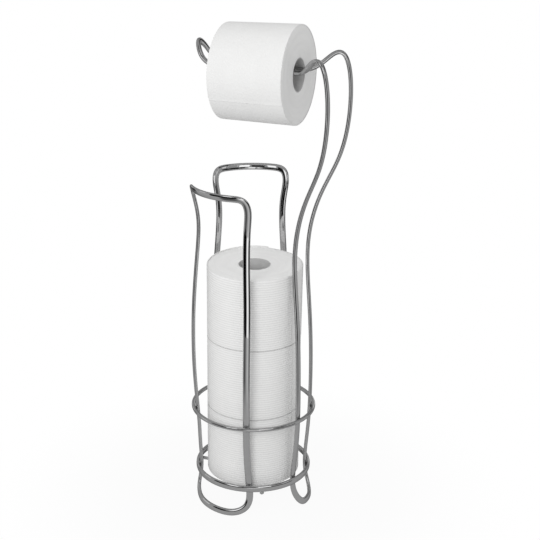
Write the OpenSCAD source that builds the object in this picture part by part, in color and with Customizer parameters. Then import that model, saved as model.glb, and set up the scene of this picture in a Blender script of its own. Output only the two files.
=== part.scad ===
// Free-standing toilet roll holder of bent flat-oval wire: three upright wire loops stand on
// their own rounded feet, two rings hold them together, and the tall loop runs over into an
// arm for the roll in use. Spare rolls stack on three support wires between the loops.
// Z is up and the floor is z = 0. The origin is on the axis of the two rings. The tall loop
// stands on the +X side, and its arm points along -X.

/* [Rolls] */
// Length of every roll along its core
roll_length = 100; // [92:1:103]
// Diameter of the spare rolls
spare_diameter = 129; // [110:1:132]
// Diameter of the roll in use
hanging_diameter = 128; // [90:1:130]
// Bore of the cardboard cores
core_bore = 42; // [41.5:0.5:46]
// Wall of the cardboard cores
core_wall = 0.9; // [0.6:0.1:1.4]
// Step that the loose end of the paper leaves on a roll
sheet_step = 0.6; // [0.4:0.1:1]
// How far a core stands back from the faces of its roll
core_setback = 0.5; // [0.2:0.1:1.5]

/* [Wire] */
// Width of the flat-oval wire of the loops and the base ring
wire_width = 9.4; // [8:0.1:9.7]
// Thickness of the flat-oval wire
wire_thickness = 4.8; // [4:0.1:5.2]
// Diameter of the round wire of the middle ring
middle_wire = 5.4; // [4.6:0.1:6]
// Diameter of the three support wires
support_wire = 4.5; // [3.5:0.1:5]

/* [Loops] */
// Height of the front and rear loops
short_height = 459; // [440:1:470]
// Leg radius of the loops at the middle ring
leg_radius = 78.5; // [78:0.5:80]
// Half the angle that the legs of a short loop stand apart, in degrees
leg_angle = 36.5; // [34:0.5:38]
// Angle from the tall loop round to the rear loop, in degrees
rear_angle = 118; // [114:1:122]
// Angle from the tall loop round to the front loop, in degrees
front_angle = 110; // [106:1:114]
// How far the tall loop reaches out from the axis
tall_reach = 114; // [110:1:118]
// Half the spacing of the legs at the top of the tall loop
tall_half_width = 44; // [40:1:46]
// Height of the arm wires above the floor
arm_height = 605; // [590:1:625]
// Half the spacing of the arm wires
arm_half_spacing = 15.3; // [14:0.1:15.6]
// Length of the arm from the axis to its upturned tip
arm_length = 78; // [74:1:84]
// Height of the upturned tip above the arm wires
tip_rise = 29; // [24:1:40]

/* [Rings] */
// Height of the middle ring
middle_ring_height = 136; // [120:1:160]
// Height of the base ring
base_ring_height = 44.5; // [42:0.5:50]

/* [Play] */
// Clearance between the arm wires and the core that hangs on them
hang_clearance = 0.4; // [0.3:0.1:0.6]
// Clearance between pieces that rest on each other
rest_clearance = 0.2; // [0.1:0.05:0.3]
// Clearance round a glued core and under the outer turn of paper
glue_clearance = 0.1; // [0.05:0.05:0.15]
// Depth that a weld sinks one wire into another
weld_depth = 0.08; // [0.06:0.01:0.12]

/* [Hidden] */

chrome = [0.76, 0.78, 0.80];
tissue = [0.95, 0.95, 0.94];
cardboard = [0.55, 0.55, 0.54];

// Number of sides of the drawn wire and of steps between two points of its outline
cap_sides = 5;
outline_steps = 3;
// Number of facets of a roll's outer turn
turn_facets = 120;
// Thickness of the paper where an outer turn begins, as a share of the step at its loose end
turn_start_share = 0.2;

// Where the roll in use hangs along the arm, as a share of the length of the arm
hang_place_share = 0.122;
// Place of the loose end on each roll, in degrees round its axis
hanging_end_angle = -63;
bottom_end_angle = -14;
middle_end_angle = -15;
top_end_angle = -17;
// Angles of the support wires, in degrees round the axis
support_left_angle = 185;
support_front_angle = 302;
support_rear_angle = 63;
// Angle at which two neighbouring support wires meet
support_meeting_angle = 58;

// How far the faces of the tall loop's legs turn with the rings at the floor, as a share of
// a full turn with them. The share falls to none at the arm.
leg_turn_share = 0.9;

// Outline of half a short loop from the middle of its foot to the middle of its top lip:
// share of the leg angle, share of the leg radius, share of the height, and the tilt of the
// outer face in degrees
short_shares = [
    [0, 1.02, 0, 10], [0.66, 1.02, 0, 10], [1.04, 0.99, 0.025, 8], [1.10, 0.945, 0.06, 4],
    [1.06, 0.925, 0.10, 0], [1.01, 0.96, 0.165, 0], [0.98, 0.975, 0.25, 0],
    [0.995, 1.03, 0.35, 0], [0.99, 1.065, 0.45, 0], [1.00, 1.07, 0.57, 0],
    [1.00, 1.04, 0.68, 0], [0.97, 0.995, 0.78, 0], [0.96, 0.955, 0.86, -6],
    [0.98, 0.965, 0.915, -14], [1.03, 1.03, 0.965, -18], [0.92, 1.08, 1.00, -18],
    [0.60, 1.11, 1.00, -16], [0, 1.12, 1.00, -16]];

// Outline of half the tall loop up one leg, from the middle of its foot to the top bend:
// share of the reach, share of the half width, share of the arm height, and the turn of the
// outer face in degrees
tall_shares = [
    [0.73, 0, 0, 8], [0.715, 0.34, 0, 8], [0.65, 0.55, 0.024, 4], [0.605, 0.56, 0.05, 0],
    [0.607, 0.505, 0.085, 0], [0.63, 0.485, 0.13, 0], [0.652, 0.50, 0.18, 0],
    [0.66, 0.53, 0.24, 0], [0.66, 0.55, 0.31, 0], [0.65, 0.55, 0.39, 0],
    [0.628, 0.54, 0.46, 0], [0.598, 0.53, 0.53, 0], [0.58, 0.54, 0.59, 0],
    [0.60, 0.57, 0.65, 0], [0.675, 0.65, 0.71, 0], [0.787, 0.76, 0.76, 0],
    [0.907, 0.87, 0.808, 0], [0.98, 0.95, 0.866, 0], [1.007, 1.00, 0.935, 0],
    [0.985, 1.03, 0.998, 10], [0.915, 1.01, 1.037, 40], [0.81, 0.88, 1.036, 90],
    [0.71, 0.64, 1.014, 90]];

// Outline of the tip: share of the arm length, share of the half spacing, share of the rise,
// and the turn of the outer face in degrees
tip_shares = [
    [-0.56, 1, 0, 90], [-0.74, 1.02, 0.10, 80], [-0.88, 0.98, 0.36, 50],
    [-0.965, 0.70, 0.78, 24], [-1.01, 0.24, 1, 15], [-1.01, 0, 1, 15]];

spare_radius = spare_diameter / 2;
hanging_radius = hanging_diameter / 2;
bore_radius = core_bore / 2;
core_radius = bore_radius + core_wall;
half_width = wire_width / 2;
half_thickness = wire_thickness / 2;

function lerp(a, b, t) = a + (b - a) * t;
function along(v, t) = v * t * t * t;
function spline_point(a, b, c, d, t) =
    (along(a, 1 - t) + b * (3 * t * t * t - 6 * t * t + 4)
        + c * (3 * t * t + 3 * t + 1 - 3 * t * t * t) + along(d, t)) / 6;
function unit_vector(v) = v / norm(v);
function closed_points(half) = let (n = len(half))
    concat(half, [for (i = [n - 2:-1:1])
        [half[i][0], -half[i][1], half[i][2], half[i][3]]]);
function smooth(points, steps) = let (n = len(points))
    [for (i = [0:n - 1], j = [0:steps - 1])
        spline_point(points[(i + n - 1) % n], points[i], points[(i + 1) % n],
            points[(i + 2) % n], j / steps)];

// Outline points as [x, y, z, turn] in the frame of a loop that stands on the +X side
short_lower = half_width;
short_upper = short_height - half_width;
short_half = [for (s = short_shares)
    [s[1] * leg_radius, s[0] * leg_angle, lerp(short_lower, short_upper, s[2]), s[3]]];
short_path = [for (p = smooth(closed_points(short_half), outline_steps))
    [p[0] * cos(p[1]), p[0] * sin(p[1]), p[2], p[3], p[1]]];

near_face_x = hang_place_share * arm_length + roll_length / 2;
far_face_x = near_face_x - roll_length;
arm_shares = [0, 0.08, 0.36, 0.68, 0.94, 1];
tall_half = concat(
    [for (s = tall_shares)
        [s[0] * tall_reach, s[1] * tall_half_width, lerp(half_width, arm_height, s[2]), s[3]]],
    [for (s = arm_shares)
        [lerp(near_face_x + wire_width, far_face_x, s), arm_half_spacing, arm_height, 90]],
    [for (s = tip_shares)
        [s[0] * arm_length, s[1] * arm_half_spacing, arm_height + s[2] * tip_rise, s[3]]]);
tall_path = [for (p = smooth(closed_points(tall_half), outline_steps))
    [p[0], p[1], p[2], p[3], leg_turn(p)]];
function leg_turn(p) = leg_turn_share * atan2(p[1], p[0]) * max(0, 1 - p[2] / arm_height);

// Radius of the outer face of a leg where it passes a given height
function leg_reach(p) = norm([p[0], p[1]]) + half_thickness
    + (half_width - half_thickness) * sin(abs(atan2(p[1], p[0]) - p[4]));
function reach_at(path, height) = max([for (i = [1:floor(len(path) / 2) - 1])
    (path[i][2] <= height && path[i + 1][2] > height)
        ? lerp(leg_reach(path[i]), leg_reach(path[i + 1]),
            (height - path[i][2]) / (path[i + 1][2] - path[i][2]))
        : 0]);
middle_ring_radius = max(reach_at(short_path, middle_ring_height),
    reach_at(tall_path, middle_ring_height)) + middle_wire / 2 - weld_depth;
base_ring_radius = max(reach_at(short_path, base_ring_height),
    reach_at(tall_path, base_ring_height)) + half_thickness - weld_depth;

support_z = base_ring_height - half_width - support_wire / 2 + weld_depth;
stack_z = support_z + support_wire / 2 + rest_clearance;
spare_pitch = roll_length + rest_clearance;
cap_reach = arm_half_spacing + half_width - half_thickness;
arm_above_axis = sqrt(pow(bore_radius - half_thickness - hang_clearance, 2)
    - pow(cap_reach, 2));
hanging_z = arm_height - arm_above_axis;

// Corner points of the flat-oval wire: [across its width, across its thickness]
section = concat(
    [for (i = [0:cap_sides]) let (a = -90 + 180 * i / cap_sides)
        [half_width - half_thickness + half_thickness * cos(a), half_thickness * sin(a)]],
    [for (i = [0:cap_sides]) let (a = 90 + 180 * i / cap_sides)
        [half_thickness - half_width + half_thickness * cos(a), half_thickness * sin(a)]]);

// Closed loop of flat-oval wire along a path of [x, y, z, turn, azimuth]
module wire_loop(path) {
    n = len(path);
    m = len(section);
    points = [for (i = [0:n - 1])
        let (p = path[i], q = path[(i + 1) % n], r = path[(i + n - 1) % n],
            here = [p[0], p[1], p[2]],
            run = unit_vector([q[0] - r[0], q[1] - r[1], q[2] - r[2]]),
            face = [cos(p[3]) * cos(p[4]), cos(p[3]) * sin(p[4]), sin(p[3])],
            out = unit_vector(face - run * (face * run)),
            across = cross(out, run))
        for (s = section) here + across * s[0] + out * s[1]];
    faces = [for (i = [0:n - 1], j = [0:m - 1])
        let (a = i * m + j, b = i * m + (j + 1) % m,
            c = ((i + 1) % n) * m + j, d = ((i + 1) % n) * m + (j + 1) % m)
        each [[a, d, b], [a, c, d]]];
    polyhedron(points = points, faces = faces, convexity = 10);
}

module support(angle) {
    start = support_wire / 2 / tan(support_meeting_angle) + glue_clearance;
    rotate([0, 0, angle]) translate([start, 0, support_z]) rotate([0, 90, 0])
        cylinder(h = base_ring_radius - start, d = support_wire, $fn = 48);
}

// Cardboard tube of a roll, standing on z = 0
module core() {
    translate([0, 0, core_setback]) difference() {
        cylinder(h = roll_length - 2 * core_setback, r = core_radius, $fn = 96);
        translate([0, 0, -core_setback])
            cylinder(h = roll_length, r = bore_radius, $fn = 96);
    }
}

// Wound paper of a roll without its outer turn, standing on z = 0
module paper(radius) {
    difference() {
        cylinder(h = roll_length, r = radius - sheet_step, $fn = 180);
        translate([0, 0, -core_setback]) cylinder(h = roll_length + 2 * core_setback,
            r = core_radius + glue_clearance, $fn = 96);
    }
}

// Outer turn of paper: it thickens along its way round to one step at its loose end
module outer_turn(radius, end_angle) {
    inner = radius - sheet_step + glue_clearance;
    outside = [for (i = [1:turn_facets]) let (a = end_angle + 360 * i / turn_facets)
        lerp(inner, radius, lerp(turn_start_share, 1, i / turn_facets)) * [cos(a), sin(a)]];
    inside = [for (i = [turn_facets:-1:1]) let (a = end_angle + 360 * i / turn_facets)
        inner * [cos(a), sin(a)]];
    linear_extrude(height = roll_length) polygon(concat(outside, inside));
}

module spare_at(level) {
    translate([0, 0, stack_z + level * spare_pitch]) children();
}
module hang() {
    translate([near_face_x - roll_length, 0, hanging_z]) rotate([0, 90, 0]) children();
}

module base_ring() {
    color(chrome) translate([0, 0, base_ring_height]) rotate_extrude($fn = 180)
        translate([base_ring_radius, 0]) union() {
            square([wire_thickness, wire_width - wire_thickness], center = true);
            translate([0, half_width - half_thickness])
                circle(d = wire_thickness, $fn = 32);
            translate([0, half_thickness - half_width])
                circle(d = wire_thickness, $fn = 32);
        }
}
module middle_ring() {
    color(chrome) translate([0, 0, middle_ring_height]) rotate_extrude($fn = 180)
        translate([middle_ring_radius, 0]) circle(d = middle_wire, $fn = 32);
}
module front_loop() {
    color(chrome) rotate([0, 0, -front_angle]) wire_loop(short_path);
}
module rear_loop() {
    color(chrome) rotate([0, 0, rear_angle]) wire_loop(short_path);
}
module tall_loop() {
    color(chrome) wire_loop(tall_path);
}
module support_wire_left() {
    color(chrome) support(support_left_angle);
}
module support_wire_front() {
    color(chrome) support(support_front_angle);
}
module support_wire_rear() {
    color(chrome) support(support_rear_angle);
}
module hanging_core() {
    color(cardboard) hang() core();
}
module hanging_paper() {
    color(tissue) hang() paper(hanging_radius);
}
module hanging_outer_turn() {
    color(tissue) hang() outer_turn(hanging_radius, hanging_end_angle);
}
module spare_bottom_core() {
    color(cardboard) spare_at(0) core();
}
module spare_bottom_paper() {
    color(tissue) spare_at(0) paper(spare_radius);
}
module spare_bottom_outer_turn() {
    color(tissue) spare_at(0) outer_turn(spare_radius, bottom_end_angle);
}
module spare_middle_core() {
    color(cardboard) spare_at(1) core();
}
module spare_middle_paper() {
    color(tissue) spare_at(1) paper(spare_radius);
}
module spare_middle_outer_turn() {
    color(tissue) spare_at(1) outer_turn(spare_radius, middle_end_angle);
}
module spare_top_core() {
    color(cardboard) spare_at(2) core();
}
module spare_top_paper() {
    color(tissue) spare_at(2) paper(spare_radius);
}
module spare_top_outer_turn() {
    color(tissue) spare_at(2) outer_turn(spare_radius, top_end_angle);
}

base_ring();
middle_ring();
front_loop();
rear_loop();
tall_loop();
support_wire_left();
support_wire_front();
support_wire_rear();
hanging_core();
hanging_paper();
hanging_outer_turn();
spare_bottom_core();
spare_bottom_paper();
spare_bottom_outer_turn();
spare_middle_core();
spare_middle_paper();
spare_middle_outer_turn();
spare_top_core();
spare_top_paper();
spare_top_outer_turn();
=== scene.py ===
from math import atan2, cos, degrees, hypot, pi, radians, sin, sqrt, tan

import bmesh
import bpy
from bpy.props import FloatProperty, FloatVectorProperty, IntProperty, PointerProperty
from mathutils import Matrix, Vector, noise


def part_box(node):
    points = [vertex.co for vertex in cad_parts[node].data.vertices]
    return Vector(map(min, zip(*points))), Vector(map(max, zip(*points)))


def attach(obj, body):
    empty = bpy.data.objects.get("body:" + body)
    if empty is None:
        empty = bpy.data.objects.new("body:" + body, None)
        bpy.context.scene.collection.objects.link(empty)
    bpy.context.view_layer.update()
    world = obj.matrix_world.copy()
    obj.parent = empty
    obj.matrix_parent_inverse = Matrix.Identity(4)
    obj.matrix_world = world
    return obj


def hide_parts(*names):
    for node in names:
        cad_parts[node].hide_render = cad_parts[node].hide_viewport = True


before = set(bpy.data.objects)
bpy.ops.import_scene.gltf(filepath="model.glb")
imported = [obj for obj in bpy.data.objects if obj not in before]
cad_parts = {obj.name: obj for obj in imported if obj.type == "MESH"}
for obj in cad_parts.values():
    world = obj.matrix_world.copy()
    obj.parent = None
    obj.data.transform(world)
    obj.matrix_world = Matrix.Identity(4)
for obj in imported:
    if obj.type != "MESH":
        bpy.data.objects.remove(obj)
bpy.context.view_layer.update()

bl_info = {
    "name": "Toilet Roll Stand",
    "version": (1, 0, 0),
    "blender": (4, 5, 0),
    "location": "3D View > Sidebar > Roll Stand",
    "description": "Builds a chrome wire stand for toilet rolls, with its rolls, floor and lights",
    "category": "Add Mesh",
}

# Outline of half a short loop, from the middle of its foot to the middle of its top lip: share of
# the leg angle, share of the leg radius, share of the height, tilt of the outer face in degrees
SHORT_SHARES = [
    (0, 1.02, 0, 10), (0.66, 1.02, 0, 10), (1.04, 0.99, 0.025, 8), (1.10, 0.945, 0.06, 4),
    (1.06, 0.925, 0.10, 0), (1.01, 0.96, 0.165, 0), (0.98, 0.975, 0.25, 0),
    (0.995, 1.03, 0.35, 0), (0.99, 1.065, 0.45, 0), (1.00, 1.07, 0.57, 0),
    (1.00, 1.04, 0.68, 0), (0.97, 0.995, 0.78, 0), (0.96, 0.955, 0.86, -6),
    (0.98, 0.965, 0.915, -14), (1.03, 1.03, 0.965, -18), (0.92, 1.08, 1.00, -18),
    (0.60, 1.11, 1.00, -16), (0, 1.12, 1.00, -16)]

# Outline of half the tall loop up one leg: share of the reach, share of the half width, share of
# the arm height, turn of the outer face in degrees
TALL_SHARES = [
    (0.73, 0, 0, 8), (0.715, 0.34, 0, 8), (0.65, 0.55, 0.024, 4), (0.605, 0.56, 0.05, 0),
    (0.607, 0.505, 0.085, 0), (0.63, 0.485, 0.13, 0), (0.652, 0.50, 0.18, 0),
    (0.66, 0.53, 0.24, 0), (0.66, 0.55, 0.31, 0), (0.65, 0.55, 0.39, 0),
    (0.628, 0.54, 0.46, 0), (0.598, 0.53, 0.53, 0), (0.58, 0.54, 0.59, 0),
    (0.60, 0.57, 0.65, 0), (0.675, 0.65, 0.71, 0), (0.787, 0.76, 0.76, 0),
    (0.907, 0.87, 0.808, 0), (0.98, 0.95, 0.866, 0), (1.007, 1.00, 0.935, 0),
    (0.985, 1.03, 0.998, 10), (0.915, 1.01, 1.037, 40), (0.81, 0.88, 1.036, 90),
    (0.71, 0.64, 1.014, 90)]

# Places along the arm, as shares of the way from the near end to the far end of its roll
ARM_SHARES = [0, 0.08, 0.36, 0.68, 0.94, 1]

# Outline of the tip: share of the arm length, share of the half spacing, share of the rise, turn
TIP_SHARES = [
    (-0.56, 1, 0, 90), (-0.74, 1.02, 0.10, 80), (-0.88, 0.98, 0.36, 50),
    (-0.965, 0.70, 0.78, 24), (-1.01, 0.24, 1, 15), (-1.01, 0, 1, 15)]

QUARTER_TURN, FULL_TURN = pi / 2, 2 * pi
# Lengths are in metres. Places closer together than this count as the same
TINY = 1e-6
# Edges stay sharp from this angle on
SHARP_CUT, SHARP_FOLD = radians(50), radians(40)

WIRE_THICKNESS, MIDDLE_WIRE = 0.0048, 0.0054
# The flat-oval section is a superellipse: 2 would be an ellipse, more is fuller at the corners
OVAL_POWER = 2.3
# How far the faces of the tall loop's legs turn with the rings at the floor; none at the arm
LEG_TURN_SHARE = 0.9

ROUND_WIRE_SIDES, RING_STEPS = 24, 288
# The rings' butt welds: where they are, and how deep the seam is
MIDDLE_RING_SEAM = (radians(150), 0.00015)
BASE_RING_SEAM = (radians(-20), 0.00022)
SEAM_HALF_ANGLE = radians(0.9)

# Support wires: side and azimuth in degrees. They start where neighbours just clear each other
SUPPORTS = (("left", 185), ("front", 302), ("rear", 63))
MEETING_HALF_ANGLE, MEETING_GAP = radians(58), 0.0001
# Distance from a support wire's start or back from its end, share of its width: rounded off at
# the start, pressed flat at the end for the weld
SUPPORT_START = [(0.0004, 0.62), (0.0011, 0.9), (0.002, 1.0)]
SUPPORT_END = [(0.0052, 1.0), (0.003, 1.1), (0.0012, 1.35), (0.0004, 1.2), (0, 0.8)]
START_FACE = 0.3

# The legs of a loop on the +X side are further out than this
LEG_LEAST_X = 0.05
# Beads of weld: half their depth, width and height
WELD_HALF_DEPTH, WELD_HALF_WIDTH = 0.0007, 0.0027
MIDDLE_WELD_HALF, BASE_WELD_HALF = 0.0012, 0.0026

# Gaps between the core and the paper, and between the wound paper and its outer turn
CORE_CLEARANCE, SHEET_CLEARANCE = 0.0001, 0.00005
BODY_STEPS, SHEET_STEPS, CORE_STEPS = 144, 240, 96
PLAIN_ROWS, ROWS_PER_RIB = 140, 8
# Shift of the noise from one spare roll to the next, and for the hanging roll
SEED_STEP, HANGING_SEED = 3.7, 11.0

# Slump of the top spare roll. Its skin is the part of its radius that bulges and lifts
SKIN_START = 0.93
SLUMP_REAR, SLUMP_LEAN = radians(113), 0.001
BULGE_MIDDLE, BULGE_HALF_ANGLE, BULGE_AT_FOOT = radians(38), radians(50), 0.35
# The lifted turn starts suddenly and fades away slowly: azimuths in degrees
FLAP_START, FLAP_START_FADE = 95, 0.8
FLAP_END, FLAP_END_FADE = 215, 90
# Share of the sag that the near end of the hanging roll has
SAG_AT_NEAR_END = 0.25

# End faces: shares of the paper's depth where the outer rim starts to round off and where the
# bore's mouth stops, and how far down the side an end face goes
END_RIM_START, END_MOUTH, END_DEPTH = 0.965, 0.03, 0.0006

# Ribs: their roundness, the angle where the embossing starts, and the painted shade in the
# grooves and the width of the painted shadow along the rims
RIB_ROUNDNESS, RIB_START, RIB_START_FADE = 0.6, radians(28), 0.2
PAINTED_GROOVE_SHADE, PAINTED_RIM_SHADE_WIDTH = 0.3, 0.0013

# Outer turn: gap between its ends, thickness at its start, and how far back from its loose end
# the curl and the torn edge reach
SHEET_GAP, THIN_START = radians(0.25), 0.00004
CURL_ANGLE, TORN_ANGLE = radians(3.5), radians(1.8)
TOOTH_PITCH = 0.0031

# Core: rise of its spiral ply in a turn, share of it that the seam takes, and the seam's step
PLY_PITCH, PLY_SEAM_SHARE, PLY_STEP = 0.075, 0.02, 0.00012

KEY_AIM_HEIGHT = 0.33


def metres(name, words, value, low=0.0, high=2.0):
    """A length that a user can change."""
    return FloatProperty(name=name, description=words, default=value, min=low, max=high,
                         precision=5, unit="LENGTH", subtype="DISTANCE")


def turn(name, words, value):
    """An angle that a user can change, given in radians."""
    return FloatProperty(name=name, description=words, default=value, unit="ROTATION",
                         subtype="ANGLE")


def angle(name, words, value):
    """An angle that a user can change, given in degrees."""
    return turn(name, words, radians(value))


def tint(name, words, value):
    """A colour that a user can change."""
    return FloatVectorProperty(name=name, description=words, default=value, size=3,
                               min=0.0, max=1.0, subtype="COLOR")


def plain(name, words, value, low=0.0, high=10.0):
    """A plain number that a user can change."""
    return FloatProperty(name=name, description=words, default=value, min=low, max=high)


class StandWireSizes(bpy.types.PropertyGroup):
    """Sizes of the wire frame"""
    wire_width: metres("Wire width", "Width of the flat-oval wire", 0.0094)
    wire_thickness: metres("Wire thickness", "Thickness of the flat-oval wire",
                            WIRE_THICKNESS)
    middle_wire: metres("Middle ring wire", "Diameter of the middle ring's wire", MIDDLE_WIRE)
    support_wire: metres("Support wire", "Diameter of the support wires", 0.0045)
    short_height: metres("Short loop height", "Height of the front and rear loops", 0.459)
    leg_radius: metres("Leg radius", "Leg radius of the loops at the middle ring", 0.0785)
    leg_angle: angle("Leg angle", "Half the angle between the legs of a short loop", 36.5)
    rear_angle: angle("Rear angle", "From the tall loop round to the rear loop", 118)
    front_angle: angle("Front angle", "From the tall loop round to the front loop", 110)
    tall_reach: metres("Tall loop reach", "How far the tall loop reaches from the axis", 0.114)
    tall_half_width: metres("Tall loop half width", "Half the leg spacing at its top", 0.044)
    arm_height: metres("Arm height", "Height of the arm wires", 0.605)
    arm_half_spacing: metres("Arm half spacing", "Half the spacing of the arm wires", 0.0153)
    arm_length: metres("Arm length", "From the axis to the upturned tip", 0.078)
    tip_rise: metres("Tip rise", "Height of the tip above the arm wires", 0.029)
    middle_ring_radius: metres("Middle ring radius", "Centre radius of the middle ring",
                               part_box("middle_ring")[1].x - MIDDLE_WIRE / 2)
    middle_ring_height: metres("Middle ring height", "Height of the middle ring", 0.136)
    base_ring_radius: metres("Base ring radius", "Centre radius of the base ring",
                             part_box("base_ring")[1].x - WIRE_THICKNESS / 2)
    base_ring_height: metres("Base ring height", "Height of the base ring", 0.0445)
    support_height: metres("Support height", "Height of the support wires' middle", 0.03763)
    route_steps: IntProperty(name="Route steps", default=12, min=3, max=24,
                             description="Steps between two points of a wire's route")
    wire_sides: IntProperty(name="Wire sides", default=28, min=12, max=48,
                            description="Sides of the flat-oval wire")


class StandRollSizes(bpy.types.PropertyGroup):
    """Sizes of the paper rolls"""
    roll_length: metres("Roll length", "Length of every roll", 0.1)
    spare_radius: metres("Spare roll radius", "Radius of the spare rolls", 0.0645)
    hanging_radius: metres("Hanging roll radius", "Radius of the roll in use", 0.064)
    bore_radius: metres("Bore radius", "Radius of the core's bore", 0.021)
    core_wall: metres("Core wall", "Wall of the cardboard core", 0.0009)
    core_setback: metres("Core setback", "How far a core stands back", 0.0005)
    sheet_step: metres("Sheet step", "Step at the loose end of the paper", 0.0006)
    rim_radius: metres("Rim radius", "Rounding of a roll's rims", 0.0011)
    rib_pitch: metres("Rib pitch", "Spacing of the embossed ribs of a spare roll", 0.0032)
    rib_height: metres("Rib height", "Height of the ribs above the grooves", 0.00038)
    end_curl: metres("End curl", "How far the loose end of the paper stands off", 0.0005)
    rear_rise: metres("Rear rise", "How far the top roll's rear rim stands up", 0.0044)
    front_sink: metres("Front sink", "How far the top roll's front rim sinks", 0.0014)
    flap_rise: metres("Flap rise", "How far a turn stands up out of the top roll's rear", 0.0026)
    side_bulge: metres("Side bulge", "How far the top roll bulges on its loose side", 0.0022)
    sag: metres("Sag", "How far the roll in use sags round its core at the far end", 0.0016)
    taper: metres("Taper", "How much smaller the far end of the roll in use is", 0.0015)
    bottom_end: angle("Bottom loose end", "Where the bottom roll's paper ends", -14)
    middle_end: angle("Middle loose end", "Where the middle roll's paper ends", -15)
    top_end: angle("Top loose end", "Where the top roll's paper ends", -17)
    hanging_end: angle("Hanging loose end", "Where the paper of the hanging roll ends", -63)


class StandColours(bpy.types.PropertyGroup):
    """Colours of the stand and its rolls"""
    chrome: tint("Chrome", "Colour of the plated wire", (0.58, 0.58, 0.583))
    tissue: tint("Tissue", "Colour of the paper", (0.9, 0.9, 0.895))
    board: tint("Core board", "Colour of the cardboard core", (0.615, 0.615, 0.612))
    floor: tint("Floor", "Colour of the floor", (0.6, 0.6, 0.6))


class StandStage(bpy.types.PropertyGroup):
    """Camera and light"""
    camera_azimuth: angle("Camera azimuth", "Where the camera stands round the axis", -67.08)
    camera_distance: metres("Camera distance", "Distance from the axis", 1.4862, 0, 10)
    camera_height: metres("Camera height", "Height above the floor", 0.8492, 0, 10)
    camera_yaw: turn("Camera yaw", "Turn of the camera to the right of the axis", 0.014)
    camera_pitch: turn("Camera pitch", "Tilt of the camera below level", 0.316)
    camera_roll: turn("Camera roll", "Roll of the camera", 0.011)
    lens: plain("Lens", "Focal length in millimetres on a 36 mm frame", 77.89, 10, 300)
    shift_x: plain("Shift X", "Sideways shift of the picture", -0.00026, -1, 1)
    shift_y: plain("Shift Y", "Upward shift of the picture", -0.03996, -1, 1)
    world_level: plain("Surround level", "Light that comes from all round", 0.7)
    studio_level: plain("Studio level", "Grey of the studio that the chrome mirrors", 0.42)
    floor_level: plain("Mirrored floor level", "Grey of the floor that the chrome mirrors", 0.52)
    key_level: plain("Key light", "Power of the key light in watts", 11.0, 0, 200)
    key_azimuth: angle("Key azimuth", "Where the key light stands round the axis", -88)
    key_elevation: angle("Key elevation", "Height angle of the key light", 22)
    key_size: metres("Key size", "Side of the key light", 0.8, 0, 5)
    key_distance: metres("Key distance", "Distance of the key light", 1.8, 0, 10)


# ---- shader maths

def math_node(operation, swapped=False):
    """A method that adds a Math node for a term and what it is used with."""
    def method(term, *others):
        values = others + (term,) if swapped else (term,) + others
        return term.shader.term(term.shader.add("Math", {"operation": operation},
                                                dict(enumerate(values))))
    return method


class Term:
    """A number in a material that adds Math nodes when it is used in an expression."""

    def __init__(self, shader, socket):
        self.shader, self.socket = shader, socket

    __add__ = __radd__ = math_node("ADD")
    __sub__, __rsub__ = math_node("SUBTRACT"), math_node("SUBTRACT", swapped=True)
    __mul__ = __rmul__ = math_node("MULTIPLY")
    __truediv__ = math_node("DIVIDE")
    power, larger, size = math_node("POWER"), math_node("MAXIMUM"), math_node("ABSOLUTE")

    def step(self, low, high):
        """0 below low, 1 above high, smooth in between."""
        node = self.shader.add(
            "MapRange", {"interpolation_type": "SMOOTHSTEP"},
            {"Value": self, "From Min": low, "From Max": high, "To Min": 0.0, "To Max": 1.0})
        return self.shader.term(node)


class Shader:
    """A material's or world's node tree, emptied, with one way to add a node."""

    def __init__(self, owner):
        owner.use_nodes = True
        self.tree = owner.node_tree
        self.tree.nodes.clear()

    def add(self, kind, settings=None, values=None):
        """A new node with its settings, and with values or links at its inputs."""
        node = self.tree.nodes.new("ShaderNode" + kind)
        for name, value in (settings or {}).items():
            setattr(node, name, value)
        self.feed(node, values or {})
        return node

    def feed(self, node, values):
        """Sets or links inputs of a node."""
        for name, value in values.items():
            if isinstance(value, Term):
                value = value.socket
            if isinstance(value, bpy.types.NodeSocket):
                self.tree.links.new(value, node.inputs[name])
            else:
                node.inputs[name].default_value = value

    def term(self, node, output=0):
        return Term(self, node.outputs[output])

    def place(self):
        """Object coordinates."""
        return self.add("TexCoord").outputs["Object"]

    def parts(self, vector):
        """The three numbers of a vector."""
        node = self.add("SeparateXYZ", None, {0: vector})
        return [self.term(node, i) for i in range(3)]

    def joined(self, x, y, z):
        """A vector of three numbers."""
        return self.add("CombineXYZ", None, {0: x, 1: y, 2: z}).outputs[0]

    def mark(self, name):
        """A number that the piece's mesh carries at its corners."""
        return self.term(self.add("Attribute", {"attribute_name": name}), "Fac")

    def noise(self, vector, scale, detail, roughness):
        return self.term(self.add("TexNoise", None, {
            "Vector": vector, "Scale": scale, "Detail": detail, "Roughness": roughness}), "Fac")

    def mixed(self, factor, first, second):
        """A colour between two colours."""
        return self.add("Mix", {"data_type": "RGBA"},
                        {0: factor, 6: first, 7: second}).outputs[2]

    def bump(self, height, strength, distance):
        return self.add("Bump", None, {
            "Height": height, "Strength": strength, "Distance": distance}).outputs[0]

    def rays(self):
        """Whether the camera sees a place directly, and whether it does so in a mirror."""
        path = self.add("LightPath")
        glossy, through = (self.term(path, "Is Glossy Ray"), self.term(path, "Is Transmission Ray"))
        return self.term(path, "Is Camera Ray"), glossy.larger(through)


def shade(colour, share):
    """A colour with alpha, made lighter or darker by a share."""
    return tuple(part * share for part in colour) + (1.0,)


def made_once(build):
    """Lets a function that builds a material give back the one of that name if there is one."""
    def find_or_build(name, *values):
        return bpy.data.materials.get(name) or build(name, *values)
    return find_or_build


def new_material(name):
    """A material, the maker of its nodes and its surface shader."""
    material = bpy.data.materials.new(name)
    shader = Shader(material)
    surface = shader.add("BsdfPrincipled")
    shader.add("OutputMaterial", None, {0: surface.outputs[0]})
    return material, shader, surface


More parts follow.
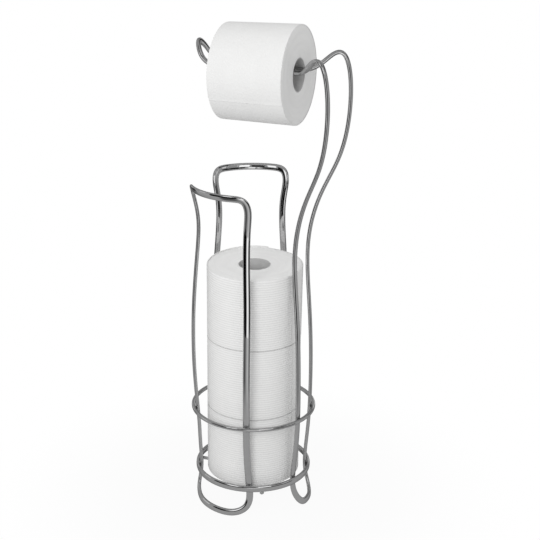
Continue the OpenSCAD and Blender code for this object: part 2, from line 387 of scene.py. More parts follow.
@made_once
def chrome_material(name):
    """Bright plated wire: a mirror with a faint haze and the slight waviness of drawn wire."""
    colour = bpy.context.scene.stand_colours.chrome
    material, shader, surface = new_material(name)
    place = shader.place()
    haze = shader.noise(place, scale=90.0, detail=3.0, roughness=0.6)
    waves = shader.noise(place, scale=60.0, detail=1.0, roughness=0.4)
    shader.feed(surface, {
        "Base Color": shader.mixed(haze.step(0.3, 0.75), shade(colour, 1.0), shade(colour, 0.95)),
        "Metallic": 1.0,
        "Specular Tint": (0.45, 0.45, 0.45, 1.0),
        "Roughness": 0.035 + haze * 0.04,
        "Normal": shader.bump(waves, strength=0.06, distance=0.0004),
    })
    return material


@made_once
def tissue_side_material(name, stipple, level):
    """Outside of a roll: matt soft paper with fibres and a fine stipple, with painted shade in its
    grooves and painted shadow along its rims.
    """
    colour = bpy.context.scene.stand_colours.tissue
    material, shader, surface = new_material(name)
    place = shader.place()
    clouds = shader.noise(place, scale=45.0, detail=3.0, roughness=0.6)
    fibres = shader.noise(place, scale=900.0, detail=4.0, roughness=0.7)
    dots = shader.noise(place, scale=420.0, detail=1.0, roughness=0.3)
    relief = fibres * 0.35 + dots.step(0.42, 0.66) * stipple + clouds * 0.3
    paper = shader.mixed(clouds.step(0.25, 0.8), shade(colour, level),
                         shade(colour, 0.975 * level))
    shader.feed(surface, {
        # Painted shade and shadow: darker paper where the mesh marks rib grooves and rims
        "Base Color": shader.mixed(shader.mark("painted_shade"), paper, shade(colour, 0.45)),
        "Roughness": 0.9 + fibres * 0.08,
        "Specular IOR Level": 0.25,
        "Normal": shader.bump(relief, strength=0.35, distance=0.0006),
    })
    return material


@made_once
def tissue_end_material(name, axis, centre, level):
    """End face of a roll: the edges of its many turns."""
    colour = bpy.context.scene.stand_colours.tissue
    material, shader, surface = new_material(name)
    middle = shader.add("Mapping", None, {
        "Vector": shader.place(), "Location": tuple(-part for part in centre)}).outputs[0]
    x, y, z = shader.parts(middle)
    a, b = (y, z) if axis == "X" else (x, y)
    radius = (a * a + b * b).power(0.5)

    def wound_noise(across, along, roughness):
        """Noise that changes fast from turn to turn and slowly along a turn."""
        place = shader.joined(radius * across, a / radius * along, b / radius * along)
        return shader.noise(place, scale=1.0, detail=2.0, roughness=roughness)

    layers = wound_noise(900.0, 0.8, 0.6)
    bands = wound_noise(160.0, 0.9, 0.5)
    fluff = shader.noise(middle, scale=1100.0, detail=3.0, roughness=0.7)
    relief = layers * 0.7 + bands * 0.6 + fluff * 0.25
    shader.feed(surface, {
        "Base Color": shader.mixed(bands.step(0.3, 0.75), shade(colour, level),
                                   shade(colour, 0.96 * level)),
        "Roughness": 0.92 + fluff * 0.06,
        "Specular IOR Level": 0.2,
        "Normal": shader.bump(relief, strength=0.45, distance=0.0005),
    })
    return material


@made_once
def board_material(name):
    """Spiral-wound cardboard core."""
    colour = bpy.context.scene.stand_colours.board
    material, shader, surface = new_material(name)
    place = shader.place()
    fibres = shader.noise(place, scale=700.0, detail=4.0, roughness=0.7)
    clouds = shader.noise(place, scale=60.0, detail=3.0, roughness=0.6)
    shader.feed(surface, {
        "Base Color": shader.mixed(clouds * 0.6 + fibres * 0.4, shade(colour, 0.88),
                                   shade(colour, 1.12)),
        "Roughness": 0.85 + fibres * 0.1,
        "Specular IOR Level": 0.3,
        "Normal": shader.bump(fibres * 0.5 + clouds * 0.5, strength=0.3, distance=0.0004),
    })
    return material


# ---- mesh tools

def lerp(a, b, t):
    return a + (b - a) * t


def held(share):
    """A share held between 0 and 1."""
    return min(1.0, max(0.0, share))


def facing(azimuth, elevation):
    """The unit vector that points to an azimuth and an elevation."""
    return Vector((cos(elevation) * cos(azimuth),
                   cos(elevation) * sin(azimuth), sin(elevation)))


def turn_from(start, azimuth):
    """How far an azimuth is turned from another, from minus half a turn to half a turn."""
    return (azimuth - start + pi) % FULL_TURN - pi


def spline_route(points, steps):
    """Smooth closed route through a ring of control rows (uniform cubic B-spline)."""
    count, rows = len(points), []
    for i in range(count):
        near = [points[(i + k) % count] for k in (-1, 0, 1, 2)]
        for j in range(steps):
            t = j / steps
            weights = ((1 - t) ** 3, 3 * t ** 3 - 6 * t * t + 4,
                       3 * t * t + 3 * t + 1 - 3 * t ** 3, t ** 3)
            rows.append([sum(w * row[k] for w, row in zip(weights, near)) / 6
                         for k in range(4)])
    return rows


def closed_points(half):
    """A whole loop from its half: the second half mirrors the first."""
    return half + [(p[0], -p[1], p[2], p[3]) for p in half[-2:0:-1]]


def short_route():
    """Rows of (place, outward direction) of a short loop that stands on the +X side."""
    w = bpy.context.scene.stand_wire
    low, high = w.wire_width / 2, w.short_height - w.wire_width / 2
    half = [(s[1] * w.leg_radius, s[0] * w.leg_angle, lerp(low, high, s[2]), radians(s[3]))
            for s in SHORT_SHARES]
    return [(Vector((radius * cos(azimuth), radius * sin(azimuth), height)),
             facing(azimuth, tilt))
            for radius, azimuth, height, tilt in spline_route(closed_points(half), w.route_steps)]


def tall_route():
    """Rows of (place, outward direction) of the tall loop and its arm."""
    w, r = bpy.context.scene.stand_wire, bpy.context.scene.stand_rolls
    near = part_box("hanging_paper")[1].x
    far = near - r.roll_length
    half = [(s[0] * w.tall_reach, s[1] * w.tall_half_width,
             lerp(w.wire_width / 2, w.arm_height, s[2]), radians(s[3])) for s in TALL_SHARES]
    half += [(lerp(near + w.wire_width, far, s), w.arm_half_spacing, w.arm_height,
              radians(90)) for s in ARM_SHARES]
    half += [(s[0] * w.arm_length, s[1] * w.arm_half_spacing, w.arm_height + s[2] * w.tip_rise,
              radians(s[3])) for s in TIP_SHARES]
    rows = []
    for x, y, z, turn in spline_route(closed_points(half), w.route_steps):
        azimuth = LEG_TURN_SHARE * atan2(y, x) * max(0.0, 1 - z / w.arm_height)
        rows.append((Vector((x, y, z)), facing(azimuth, turn)))
    return rows


def stations(route):
    """A frame at each place of a closed route: across the wire, out of its face, along it."""
    frames = []
    for i, (place, face) in enumerate(route):
        run = (route[(i + 1) % len(route)][0] - route[i - 1][0]).normalized()
        out = (face - run * face.dot(run)).normalized()
        across = out.cross(run)
        frames.append(Matrix.Translation(place)
                      @ Matrix((across, out, run)).transposed().to_4x4())
    return frames


def only(geom, kind):
    """The elements of one kind, out of what a bmesh operator gives back."""
    return [element for element in geom if isinstance(element, kind)]


def edges_between(edges, verts):
    """The edges that have both their ends among some vertices."""
    inside = set(verts)
    return [e for e in edges if e.verts[0] in inside and e.verts[1] in inside]


def extruded(bm, edges):
    """The vertices and edges that a ring of edges is extruded to, still in its place."""
    grown = bmesh.ops.extrude_edge_only(bm, edges=edges)["geom"]
    verts = only(grown, bmesh.types.BMVert)
    return verts, edges_between(only(grown, bmesh.types.BMEdge), verts)


def spin_round(bm, geom, steps, angle=FULL_TURN, merge=True):
    """Spins a profile about Z and gives back the profile at its end."""
    return bmesh.ops.spin(bm, geom=geom, cent=(0, 0, 0), axis=(0, 0, 1), angle=angle,
                          steps=steps, use_merge=merge)["geom_last"]


def profile_loop(bm, points):
    """The edges, in order, of a closed profile through places given as (radius, height)."""
    corners = [bm.verts.new((radius, 0, height)) for radius, height in points]
    return [bm.edges.new(pair) for pair in zip(corners, corners[1:] + corners[:1])]


def oval_ring(bm, width, thickness, sides, matrix):
    """One cross-section of the flat-oval wire: crowned faces that run over into its edges."""
    ring = bmesh.ops.create_circle(bm, segments=sides, radius=1.0)["verts"]
    for vert in ring:
        x, y = vert.co.x, vert.co.y
        fuller = (abs(x) ** OVAL_POWER + abs(y) ** OVAL_POWER) ** (-1 / OVAL_POWER)
        vert.co = (width / 2 * x * fuller, thickness / 2 * y * fuller, 0)
    bmesh.ops.transform(bm, matrix=matrix, verts=ring)
    return ring


def sweep_closed(bm, frames, width, thickness, sides):
    """Draws the flat-oval wire along a closed row of frames."""
    ring = oval_ring(bm, width, thickness, sides, frames[0])
    first_edges = edges = edges_between(bm.edges, ring)
    for before, after in zip(frames, frames[1:]):
        verts, edges = extruded(bm, edges)
        bmesh.ops.transform(bm, matrix=after @ before.inverted(), verts=verts)
    bmesh.ops.bridge_loops(bm, edges=edges + first_edges)


def finish_piece(bm, name, body, materials, replaced=(), sharp=None):
    """Turns a bmesh into a finished piece that rides on its body."""
    bmesh.ops.recalc_face_normals(bm, faces=bm.faces)
    for face in bm.faces:
        face.smooth = True
    if sharp is not None:
        for edge in bm.edges:
            edge.smooth = len(edge.link_faces) == 2 and edge.calc_face_angle(0.0) < sharp
    mesh = bpy.data.meshes.new(name)
    bm.to_mesh(mesh)
    bm.free()
    for material in materials:
        mesh.materials.append(material)
    piece = bpy.data.objects.new(name, mesh)
    bpy.context.scene.collection.objects.link(piece)
    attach(piece, body)
    if replaced:
        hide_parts(*replaced)


def finish_wire(bm, name, nodes=(), sharp=None):
    """Finishes a piece of plated wire that is welded into the stand."""
    finish_piece(bm, name, "stand", [chrome_material("chrome_plate")], nodes, sharp)


# ---- wire pieces

def make_loop(side, route, turn):
    """One closed loop of flat-oval wire, turned about the stand's axis to its side."""
    w = bpy.context.scene.stand_wire
    bm = bmesh.new()
    sweep_closed(bm, stations(route), w.wire_width, w.wire_thickness, w.wire_sides)
    bmesh.ops.rotate(bm, cent=(0, 0, 0), matrix=Matrix.Rotation(turn, 3, "Z"), verts=bm.verts)
    finish_wire(bm, side + "_loop_wire", [side + "_loop"])


class STAND_OT_loops(bpy.types.Operator):
    """Makes the front, rear and tall wire loops, with the arm that the tall loop bends into"""
    bl_idname = "stand.loops"
    bl_label = "Wire Loops"

    def execute(self, context):
        w = context.scene.stand_wire
        make_loop("front", short_route(), -w.front_angle)
        make_loop("rear", short_route(), w.rear_angle)
        make_loop("tall", tall_route(), 0.0)
        return {"FINISHED"}


def butt_weld(bm, azimuth, depth):
    """Presses the two sides of a ring's joint in by depth, so that a fine seam shows."""
    for vert in bm.verts:
        if abs(turn_from(azimuth, atan2(vert.co.y, vert.co.x))) < SEAM_HALF_ANGLE:
            vert.co -= vert.normal * depth if vert.normal.length else Vector()


def make_ring(node, section, matrix, seam):
    """A ring of wire: its section stands in the XZ plane and turns once about Z."""
    bm = bmesh.new()
    ring = oval_ring(bm, *section, matrix)
    spin_round(bm, ring + edges_between(bm.edges, ring), RING_STEPS)
    butt_weld(bm, *seam)
    finish_wire(bm, node + "_wire", [node])


class STAND_OT_rings(bpy.types.Operator):
    """Makes the round middle ring and the flat-oval base ring, with their butt welds"""
    bl_idname = "stand.rings"
    bl_label = "Rings"

    def execute(self, context):
        w = context.scene.stand_wire
        upright = Matrix.Rotation(QUARTER_TURN, 4, "X")
        make_ring("middle_ring", (w.middle_wire, w.middle_wire, ROUND_WIRE_SIDES),
                  Matrix.Translation((w.middle_ring_radius, 0, w.middle_ring_height)) @ upright,
                  MIDDLE_RING_SEAM)
        make_ring("base_ring", (w.wire_width, w.wire_thickness, w.wire_sides),
                  Matrix.Translation((w.base_ring_radius, 0, w.base_ring_height)) @ upright
                  @ Matrix.Rotation(QUARTER_TURN, 4, "Z"), BASE_RING_SEAM)
        return {"FINISHED"}


def make_support(side, azimuth):
    """One support wire, with the flattened weld at its end under the base ring."""
    w = bpy.context.scene.stand_wire
    radius = w.support_wire / 2
    start = radius / tan(MEETING_HALF_ANGLE) + MEETING_GAP
    length = w.base_ring_radius - start
    marks = SUPPORT_START + [(length - back, wide) for back, wide in SUPPORT_END]
    bm = bmesh.new()
    ring = bmesh.ops.create_circle(bm, segments=ROUND_WIRE_SIDES, radius=radius)["verts"]
    first_edges = edges = list(bm.edges)
    bmesh.ops.scale(bm, vec=(START_FACE, START_FACE, 1), verts=ring)
    for along, wide in marks:
        verts, edges = extruded(bm, edges)
        for vert in verts:
            flat = Vector((vert.co.x, vert.co.y)).normalized() * radius
            vert.co = (flat.x * min(wide, 1.0), flat.y * wide, along)
    bmesh.ops.edgeloop_fill(bm, edges=first_edges)
    bmesh.ops.edgeloop_fill(bm, edges=edges)
    bmesh.ops.transform(
        bm, verts=bm.verts,
        matrix=Matrix.Rotation(azimuth, 4, "Z") @ Matrix.Translation((start, 0, w.support_height))
        @ Matrix.Rotation(QUARTER_TURN, 4, "Y"))
    finish_wire(bm, side + "_support_wire", ["support_wire_" + side], SHARP_CUT)


class STAND_OT_supports(bpy.types.Operator):
    """Makes the three support wires that the spare rolls stand on"""
    bl_idname = "stand.supports"
    bl_label = "Support Wires"

    def execute(self, context):
        for side, azimuth in SUPPORTS:
            make_support(side, radians(azimuth))
        return {"FINISHED"}


def crossing(route, height):
    """The two places where a loop's legs pass a height."""
    found = []
    for (a, _), (b, _) in zip(route, route[1:] + route[:1]):
        if min(a.z, b.z) <= height < max(a.z, b.z) and a.x > LEG_LEAST_X:
            found.append(a.lerp(b, (height - a.z) / (b.z - a.z)))
    return found


class STAND_OT_welds(bpy.types.Operator):
    """Makes the small flat welds where the legs touch the two rings"""
    bl_idname = "stand.welds"
    bl_label = "Welds"

    def execute(self, context):
        w = context.scene.stand_wire
        bm = bmesh.new()
        for turn, route in ((-w.front_angle, short_route()), (w.rear_angle, short_route()),
                            (0.0, tall_route())):
            for height, radius, half_height in (
                    (w.middle_ring_height, w.middle_ring_radius - w.middle_wire / 2,
                     MIDDLE_WELD_HALF),
                    (w.base_ring_height, w.base_ring_radius - w.wire_thickness / 2,
                     BASE_WELD_HALF)):
                for place in crossing(route, height):
                    self.bead(bm, atan2(place.y, place.x) + turn, radius, height,
                              half_height)
        finish_wire(bm, "leg_welds")
        return {"FINISHED"}

    @staticmethod
    def bead(bm, azimuth, radius, height, half_height):
        """A flattened ball of weld on the inside of a ring."""
        ball = bmesh.ops.create_uvsphere(bm, u_segments=16, v_segments=10, radius=1.0)["verts"]
        bmesh.ops.transform(
            bm, verts=ball,
            matrix=Matrix.Rotation(azimuth, 4, "Z") @ Matrix.Translation((radius, 0, height))
            @ Matrix.Diagonal((WELD_HALF_DEPTH, WELD_HALF_WIDTH, half_height, 1.0)))


# ---- paper rolls

class Roll:
    """What the core, the wound paper and the outer turn of one roll share."""

    def __init__(self, name, place, radius, end_angle, seed):
        self.name = name
        self.place = place
        self.radius = radius
        self.end_angle = end_angle
        self.seed = seed
        self.hangs = name == "hanging"
        self.slumps = name == "spare_top"

    def finish(self, bm, piece, node, slot, materials, sharp):
        """Puts a piece of the roll in place and finishes it."""
        bmesh.ops.transform(bm, matrix=self.place, verts=bm.verts)
        finish_piece(bm, self.name + piece, self.name + "_roll", materials,
                     [self.name + node], sharp)


def upright_place(base):
    """Stands a roll, made from 0 up along Z, on a height."""
    return Matrix.Translation((0, 0, base))


def lying_place(height):
    """Lays a roll, made from 0 up along Z, along the arm with its axis at a height."""
    far_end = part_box("hanging_paper")[0].x
    return Matrix.Translation((far_end, 0, height)) @ Matrix.Rotation(QUARTER_TURN, 4, "Y")


def paper_bore():
    """Inner radius of the wound paper, just clear of its core."""
    r = bpy.context.scene.stand_rolls
    return r.bore_radius + r.core_wall + CORE_CLEARANCE


def rim_rounding(along, length, rim):
    """How far the skin of a roll draws in near its rims."""
    away = min(along, length - along)
    if away >= rim:
        return 0.0
    return rim - sqrt(max(0.0, rim * rim - (rim - away) ** 2))


def slump_roll(bm, flap_rise=0.0):
    """Lets a soft roll slump: its top face slants, its rear rim stands up and a side bulges."""
    r = bpy.context.scene.stand_rolls
    for vert in bm.verts:
        x, y, z = vert.co
        share, azimuth = z / r.roll_length, atan2(y, x)
        skin = max(0.0, (hypot(x, y) / r.spare_radius - SKIN_START) / (1 - SKIN_START))
        back = (x * cos(SLUMP_REAR) + y * sin(SLUMP_REAR)) / (2 * r.spare_radius) + 0.5
        lift = share * lerp(-r.front_sink, r.rear_rise, back)
        turned = degrees(azimuth) % 360
        flap = (held((turned - FLAP_START) / FLAP_START_FADE)
                * held((FLAP_END - turned) / FLAP_END_FADE))
        lift += flap_rise * skin * flap * max(0.0, (share - 0.5) * 2) ** 2
        swell, off = 0.0, turn_from(BULGE_MIDDLE, azimuth)
        if abs(off) < BULGE_HALF_ANGLE:
            swell = (cos(off / BULGE_HALF_ANGLE * pi / 2) ** 2 * r.side_bulge
                     * min(1.0, skin) * lerp(BULGE_AT_FOOT, 1.0, share))
        lean = SLUMP_LEAN * share
        vert.co = (x + swell * cos(azimuth) - lean * cos(SLUMP_REAR),
                   y + swell * sin(azimuth) - lean * sin(SLUMP_REAR), z + lift)


def sag_roll(bm):
    """Lets the roll in use sag a little round its core, most at its far end."""
    r = bpy.context.scene.stand_rolls
    inner = paper_bore()
    for vert in bm.verts:
        x, y, z = vert.co
        share = (hypot(x, y) - inner) / (r.hanging_radius - inner)
        far = 1 - z / r.roll_length
        shrunk = 1 - r.taper / r.hanging_radius * far * share
        vert.co = (x * shrunk + share * r.sag * lerp(SAG_AT_NEAR_END, 1.0, far), y * shrunk, z)


def settle(bm, roll, flap_rise=0.0):
    """Lets the paper of a roll give under its own weight."""
    if roll.slumps:
        slump_roll(bm, flap_rise)
    if roll.hangs:
        sag_roll(bm)


def end_sink(x, y, inner, outer):
    """How far a roll's end face stands back: ripples of its turns, soft dents, rounded rims."""
    reach = hypot(x, y)
    share = (reach - inner) / (outer - inner)
    ripple = noise.noise(Vector((reach * 420, x * 12, y * 12)))
    dent = noise.noise(Vector((x * 35, y * 35, 3.1)))
    rim = max(0.0, share - END_RIM_START) / (1 - END_RIM_START)
    mouth = max(0.0, END_MOUTH - share) / END_MOUTH
    return max(0.0, 0.00012 + 0.0001 * ripple + 0.00016 * dent
               + 0.0005 * rim * rim + 0.0004 * mouth)


def make_wound_body(roll, end_material, side_material):
    """The wound paper: two end faces with soft tension rings, the bore and the inner skin."""
    r = bpy.context.scene.stand_rolls
    length, inner = r.roll_length, paper_bore()
    outer = roll.radius - r.sheet_step - (0.0 if roll.hangs else r.rib_height)
    bm = bmesh.new()
    bore, top, side, foot = profile_loop(
        bm, ((inner, 0), (inner, length), (outer, length), (outer, 0)))
    bmesh.ops.subdivide_edges(bm, edges=[top, foot], cuts=26)
    bmesh.ops.subdivide_edges(bm, edges=[side, bore], cuts=5)
    spin_round(bm, bm.verts[:] + bm.edges[:], BODY_STEPS)
    for vert in bm.verts:
        at_foot, at_top = vert.co.z < TINY, vert.co.z > length - TINY
        if at_foot or at_top:
            sink = end_sink(vert.co.x, vert.co.y, inner, outer)
            vert.co.z += sink if at_foot else -sink
    for face in bm.faces:
        off_middle = abs(face.calc_center_median().z - length / 2)
        face.material_index = 1 if off_middle < length / 2 - END_DEPTH else 0
    settle(bm, roll)
    roll.finish(bm, "_wound_paper", "_paper", "tissue", [end_material, side_material], SHARP_FOLD)


def rib_relief(roll, x, y, along, angle):
    """Depth of the pressed ribs' grooves at a place, and the painted shade there: darker in the
    grooves and in a band of painted shadow along the rims.
    """
    r = bpy.context.scene.stand_rolls
    grain = noise.noise(Vector((x * 60, y * 60, along * 60 + roll.seed)))
    ribs = along / r.roll_length * round(r.roll_length / r.rib_pitch)
    wave = abs(sin(pi * (ribs + 0.05 * grain))) ** RIB_ROUNDNESS
    pressed = (1 - wave) * held((angle - RIB_START) / RIB_START_FADE)
    # Painted shadow along the rims where rolls stand on each other (only the foot rim of the top
    # roll)
    rim_near = along if roll.slumps else min(along, r.roll_length - along)
    return (r.rib_height * (0.85 + 0.15 * grain) * pressed,
            max(PAINTED_GROOVE_SHADE * pressed, 1 - rim_near / PAINTED_RIM_SHADE_WIDTH))


def torn_slip(roll, along):
    """How far the torn, perforated end of a sheet stands out along the turn, in metres."""
    tooth = 0.5 + 0.5 * sin(FULL_TURN * along / TOOTH_PITCH)
    torn = (noise.noise(Vector((along * 330, roll.seed, 0)))
            + 0.6 * noise.noise(Vector((along * 900, roll.seed, 4))))
    return 0.0001 * tooth + 0.0002 * torn


def make_outer_turn(roll, material):
    """The outer turn of paper, from its thin start round to its loose end."""
    r = bpy.context.scene.stand_rolls
    length, skin = r.roll_length, roll.radius - r.sheet_step + SHEET_CLEARANCE
    inner = skin - (0.0 if roll.hangs else r.rib_height)
    rows = PLAIN_ROWS if roll.hangs else round(length / r.rib_pitch) * ROWS_PER_RIB
    sweep = FULL_TURN - SHEET_GAP
    bm = bmesh.new()
    outside = profile_loop(bm, ((roll.radius, 0), (roll.radius, length),
                                (inner, length), (inner, 0)))[:1]
    bmesh.ops.subdivide_edges(bm, edges=outside, cuts=rows - 1)
    # A mark at the corners for the painted shade in rib grooves and the painted shadow at rims
    painted_shade = bm.verts.layers.float.new("painted_shade")
    start = bm.verts[:] + bm.edges[:]
    end = spin_round(bm, start, SHEET_STEPS, sweep, merge=False)
    for vert in bm.verts:
        x, y, along = vert.co
        reach = hypot(x, y)
        angle = atan2(y, x) % FULL_TURN
        if angle > sweep + SHEET_GAP / 2:
            angle = 0.0
        share, to_end = angle / sweep, sweep - angle
        if reach > roll.radius - TINY:
            lump = noise.noise(Vector((x * 22 + roll.seed, y * 22, along * 16)))
            thick = lerp(THIN_START, roll.radius - skin, share) - 0.00012 * (lump + 1) * share
            if not roll.hangs:
                # The second value is the painted shade in grooves and the painted shadow at rims
                depth, vert[painted_shade] = rib_relief(roll, x, y, along, angle)
                thick -= depth
            curl = max(0.0, 1 - to_end / CURL_ANGLE)
            reach = (skin + thick - rim_rounding(along, length, r.rim_radius)
                     + r.end_curl * curl * curl)
        slip = max(0.0, 1 - to_end / TORN_ANGLE) * torn_slip(roll, along) / roll.radius
        turned = angle + roll.end_angle + SHEET_GAP + slip
        vert.co = (reach * cos(turned), reach * sin(turned), along)
    for rim in (start, end):
        bmesh.ops.edgeloop_fill(bm, edges=only(rim, bmesh.types.BMEdge))
    settle(bm, roll, r.flap_rise)
    roll.finish(bm, "_outer_sheet", "_outer_turn", "tissue", [material], SHARP_CUT)


def make_core(roll):
    """Spiral-wound cardboard tube with the step of its last ply."""
    r = bpy.context.scene.stand_rolls
    low, high = r.core_setback, r.roll_length - r.core_setback
    outer = r.bore_radius + r.core_wall
    bm = bmesh.new()
    bore, _, outside, _ = profile_loop(
        bm, ((r.bore_radius, low), (r.bore_radius, high), (outer, high), (outer, low)))
    bmesh.ops.subdivide_edges(bm, edges=[bore, outside], cuts=48)
    spin_round(bm, bm.verts[:] + bm.edges[:], CORE_STEPS)
    for vert in bm.verts:
        x, y, z = vert.co
        if hypot(x, y) < r.bore_radius + r.core_wall / 2:
            helix = (z / PLY_PITCH + atan2(y, x) / FULL_TURN) % 1.0
            seam = max(0.0, 1 - min(helix, 1 - helix) / PLY_SEAM_SHARE)
            stretch = (r.bore_radius + PLY_STEP * seam) / hypot(x, y)
            vert.co = (x * stretch, y * stretch, z)
    if roll.slumps:
        slump_roll(bm)
    roll.finish(bm, "_board_tube", "_core", "core_board", [board_material("core_cardboard")],
                SHARP_FOLD)


def make_roll(roll, end_material, under_material, sheet_material):
    make_core(roll)
    make_wound_body(roll, end_material, under_material)
    make_outer_turn(roll, sheet_material)


class STAND_OT_spare_rolls(bpy.types.Operator):
    """Makes the stack of spare rolls: cores, wound paper and ribbed outer turns"""
    bl_idname = "stand.spare_rolls"
    bl_label = "Spare Rolls"

    def execute(self, context):
        r = context.scene.stand_rolls
        side = tissue_side_material("ribbed_tissue", 0.35, 1.0)
        end = tissue_end_material("spare_tissue_edges", "Z", (0, 0, 0), 1.06)
        for count, level in enumerate(("bottom", "middle", "top")):
            name = "spare_" + level
            place = upright_place(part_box(name + "_paper")[0].z)
            make_roll(Roll(name, place, r.spare_radius, getattr(r, level + "_end"),
                           SEED_STEP * count), end, side, side)
        return {"FINISHED"}


class STAND_OT_hanging_roll(bpy.types.Operator):
    """Makes the roll in use on the arm, with its perforated loose end"""
    bl_idname = "stand.hanging_roll"
    bl_label = "Hanging Roll"

    def execute(self, context):
        r = context.scene.stand_rolls
        low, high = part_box("hanging_paper")
        height = (low.z + high.z) / 2
        make_roll(Roll("hanging", lying_place(height), r.hanging_radius, r.hanging_end,
                       HANGING_SEED),
                  tissue_end_material("hanging_tissue_edges", "X", (0, 0, height), 1.0),
                  tissue_side_material("under_turn_tissue", 2.6, 0.85),
                  tissue_side_material("stippled_tissue", 1.0, 0.95))
        return {"FINISHED"}


# ---- stage

# Cards that the chrome mirrors, placed by what the wires show in the photo: azimuth,
# elevation, half width, half height in degrees, then how much light or dark they add
LIGHT_CARDS = ((-44, 23, 12, 10, 1.4), (-107, 24, 10, 11, 1.2), (-67, -9, 12, 12, 0.6),
               (90, 12, 8, 14, 0.6), (150, 8, 12, 8, 0.5), (0, 22, 7, 8, 0.5),
               (-165, 12, 8, 8, 0.5))
DARK_CARDS = ((-75, 20, 13, 11, 0.96), (-18, -6, 30, 14, 0.85), (-103, -8, 19, 15, 0.97),
              (-134, 3, 12, 25, 0.97), (0, 50, 14, 14, 0.95), (60, 15, 12, 6, 0.9),
              (85, 38, 26, 12, 0.3), (165, -10, 8, 12, 0.8), (110, -5, 8, 12, 0.8))
# azimuth, half width, change of level: soft bands of the mirrored floor
FLOOR_BANDS = ((-106, 26, -0.93), (-64, 14, 0.6), (-17, 31, -0.85), (150, 25, -0.5))
# Softness of a card's edges, as the tangent of an angle; nothing shows from behind its plane
CARD_EDGE = 0.02
CARD_FRONT = (0.02, 0.06)
# Share of a band's half width that is at full strength; where bands fade in on the floor
BAND_CORE = 0.4
BAND_FADE = (0.25, 0.5)
FLOOR_RADIUS = 0.85
# How much of the floor shines of itself: near the stand (all of it further away) and in mirrors
FLOOR_SHINE_NEAR, FLOOR_SHINE_MIRRORED = 0.94, 0.85
FLOOR_SHINE_FADE = (0.12, 0.4)
# Mirrored level of this floor, as a share of that of the ground further away
FLOOR_NEAR_LEVEL = 0.9
# Light from above, against light from the side
SKY_LOW, SKY_GAIN, SKY_HEIGHTS = 0.97, 0.09, (0.3, 1.0)
# How far below level a mirrored direction has to point for the ground to fade in
HORIZON = (-0.02, 0.05)


def soft_card(shader, direction, azimuth, elevation, half_width, half_height):
    """A soft-edged rectangle in the surroundings, as a number from 0 to 1."""
    a, e = radians(azimuth), radians(elevation)

    def part(axis):
        node = shader.add("VectorMath", {"operation": "DOT_PRODUCT"},
                          {0: direction, 1: axis})
        return shader.term(node, "Value")

    front = part(facing(a, e))
    ahead = front.larger(CARD_FRONT[0])
    card = front.step(*CARD_FRONT)
    for axis, half in ((facing(a + QUARTER_TURN, 0), half_width),
                       (facing(a, e + QUARTER_TURN), half_height)):
        edge = tan(radians(half))
        away = (part(axis) / ahead).size()
        card = card * (1 - away.step(edge - CARD_EDGE, edge + CARD_EDGE))
    return card


def low_level(shader, x, y, level, fade):
    """Grey of the floor as the chrome mirrors it: level, in soft bands round the stand."""
    away = (x * x + y * y).power(0.5).larger(0.001)
    share = away.step(*BAND_FADE) if fade else 1.0
    for azimuth, half, change in FLOOR_BANDS:
        a, h = radians(azimuth), radians(half)
        near = (x * cos(a) + y * sin(a)) / away
        level = level * (1 + change * share * near.step(cos(h), cos(BAND_CORE * h)))
    return level


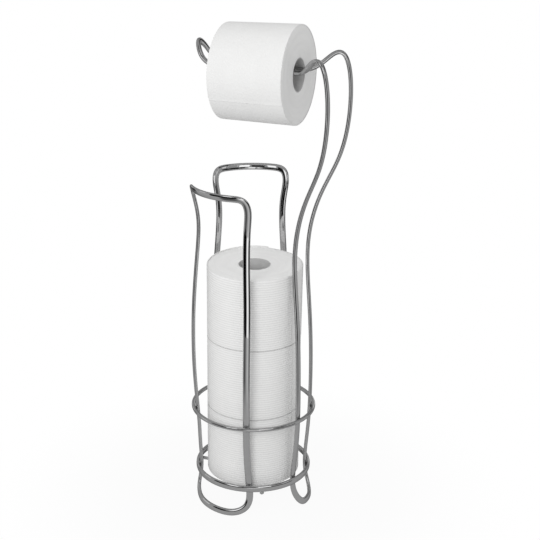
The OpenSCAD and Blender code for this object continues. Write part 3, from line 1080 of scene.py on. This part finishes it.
class STAND_OT_stage(bpy.types.Operator):
    """Makes the pale floor, the surroundings and the soft key light"""
    bl_idname = "stand.stage"
    bl_label = "Floor and Light"

    def execute(self, context):
        self.floor(context)
        self.surroundings(context)
        self.key(context)
        return {"FINISHED"}

    def floor(self, context):
        """A disc just under the feet."""
        bm = bmesh.new()
        bmesh.ops.create_circle(bm, cap_ends=True, segments=96, radius=FLOOR_RADIUS)
        mesh = bpy.data.meshes.new("floor")
        bm.to_mesh(mesh)
        bm.free()
        mesh.materials.append(self.floor_material(context))
        floor = bpy.data.objects.new("floor", mesh)
        floor.location.z = -0.0002
        context.scene.collection.objects.link(floor)

    @staticmethod
    def floor_material(context):
        """Matt, but nearly white by itself to the camera and banded grey to the chrome."""
        material = bpy.data.materials.new("pale_floor")
        shader = Shader(material)
        x, y, _ = shader.parts(shader.place())
        away = (x * x + y * y).power(0.5)
        seen, mirrored = shader.rays()
        colour = context.scene.stand_colours.floor
        matt = shader.add("BsdfDiffuse", None, {"Color": shade(colour, 1.0)})
        level = FLOOR_NEAR_LEVEL * context.scene.stand_stage.floor_level
        grey = low_level(shader, x, y, level, True)
        white = shader.add("Emission", None,
                           {"Color": (1, 1, 1, 1), "Strength": seen + grey * mirrored})
        shine = FLOOR_SHINE_NEAR + (1 - FLOOR_SHINE_NEAR) * away.step(*FLOOR_SHINE_FADE)
        mix = shader.add("MixShader", None, {
            0: seen * shine + mirrored * FLOOR_SHINE_MIRRORED,
            1: matt.outputs[0], 2: white.outputs[0]})
        shader.add("OutputMaterial", None, {0: mix.outputs[0]})
        return material

    @staticmethod
    def surroundings(context):
        """White to the camera, a soft sky to matt things and a studio with cards to chrome."""
        stage = context.scene.stand_stage
        world = context.scene.world or bpy.data.worlds.new("surroundings")
        context.scene.world = world
        shader = Shader(world)
        direction = shader.add("TexCoord").outputs["Generated"]
        x, y, height = shader.parts(direction)
        seen, mirrored = shader.rays()
        sky = stage.world_level * (SKY_LOW + SKY_GAIN * height.step(*SKY_HEIGHTS))
        under = (-1 * height).step(*HORIZON)
        studio = (stage.studio_level * (1 - under)
                  + low_level(shader, x, y, stage.floor_level, False) * under)
        for *card, change in LIGHT_CARDS:
            studio = studio + change * soft_card(shader, direction, *card)
        for *card, change in DARK_CARDS:
            studio = studio * (1 - change * soft_card(shader, direction, *card))
        level = seen + (1 - seen) * (mirrored * studio + (1 - mirrored) * sky)
        light = shader.add("Background", None,
                           {"Color": (1, 1, 1, 1), "Strength": level})
        shader.add("OutputWorld", None, {0: light.outputs[0]})

    @staticmethod
    def key(context):
        """A large square lamp that neither the camera nor the chrome sees."""
        stage = context.scene.stand_stage
        light = bpy.data.lights.new("key_light", "AREA")
        light.shape = "SQUARE"
        light.size = stage.key_size
        light.energy = stage.key_level
        lamp = bpy.data.objects.new("key_light", light)
        back = facing(stage.key_azimuth, stage.key_elevation)
        lamp.location = Vector((0, 0, KEY_AIM_HEIGHT)) + back * stage.key_distance
        lamp.rotation_euler = back.to_track_quat("Z", "Y").to_euler()
        lamp.visible_camera = False
        lamp.visible_glossy = False
        context.scene.collection.objects.link(lamp)


def swung(first, second, angle):
    """Two vectors at right angles, both turned by an angle from the first toward the second."""
    c, s = cos(angle), sin(angle)
    return first * c + second * s, second * c - first * s


class STAND_OT_camera(bpy.types.Operator):
    """Puts the camera where the photograph was taken from"""
    bl_idname = "stand.camera"
    bl_label = "Camera"

    def execute(self, context):
        stage = context.scene.stand_stage
        a = stage.camera_azimuth
        ahead = Vector((-cos(a), -sin(a), 0))
        side = Vector((ahead.y, -ahead.x, 0))
        up = Vector((0, 0, 1))
        ahead, side = swung(ahead, side, stage.camera_yaw)
        ahead, up = swung(ahead, up, -stage.camera_pitch)
        side, up = swung(side, up, stage.camera_roll)
        data = bpy.data.cameras.new("photo_camera")
        data.lens = stage.lens
        data.shift_x, data.shift_y = stage.shift_x, stage.shift_y
        camera = bpy.data.objects.new("photo_camera", data)
        place = Vector((stage.camera_distance * cos(a), stage.camera_distance * sin(a),
                        stage.camera_height))
        camera.matrix_world = (Matrix.Translation(place)
                               @ Matrix((side, up, -ahead)).transposed().to_4x4())
        context.scene.collection.objects.link(camera)
        context.scene.camera = camera
        context.scene.view_settings.view_transform = "Standard"
        return {"FINISHED"}


STEPS = (STAND_OT_camera, STAND_OT_loops, STAND_OT_rings, STAND_OT_supports, STAND_OT_welds,
         STAND_OT_spare_rolls, STAND_OT_hanging_roll, STAND_OT_stage)


class VIEW3D_PT_roll_stand(bpy.types.Panel):
    """Lists the steps that build the stand"""
    bl_label = "Roll Stand"
    bl_idname = "VIEW3D_PT_roll_stand"
    bl_space_type = "VIEW_3D"
    bl_region_type = "UI"
    bl_category = "Roll Stand"

    def draw(self, context):
        for step in STEPS:
            self.layout.operator(step.bl_idname)


GROUPS = {"stand_wire": StandWireSizes, "stand_rolls": StandRollSizes,
          "stand_colours": StandColours, "stand_stage": StandStage}


def register():
    for name, group in GROUPS.items():
        bpy.utils.register_class(group)
        setattr(bpy.types.Scene, name, PointerProperty(type=group))
    for item in STEPS + (VIEW3D_PT_roll_stand,):
        bpy.utils.register_class(item)


def unregister():
    for item in (VIEW3D_PT_roll_stand,) + STEPS[::-1]:
        bpy.utils.unregister_class(item)
    for name, group in GROUPS.items():
        delattr(bpy.types.Scene, name)
        bpy.utils.unregister_class(group)


def main():
    register()
    bpy.ops.stand.camera()
    bpy.ops.stand.loops()
    bpy.ops.stand.rings()
    bpy.ops.stand.supports()
    bpy.ops.stand.welds()
    bpy.ops.stand.spare_rolls()
    bpy.ops.stand.hanging_roll()
    bpy.ops.stand.stage()


if __name__ == "__main__":
    main()
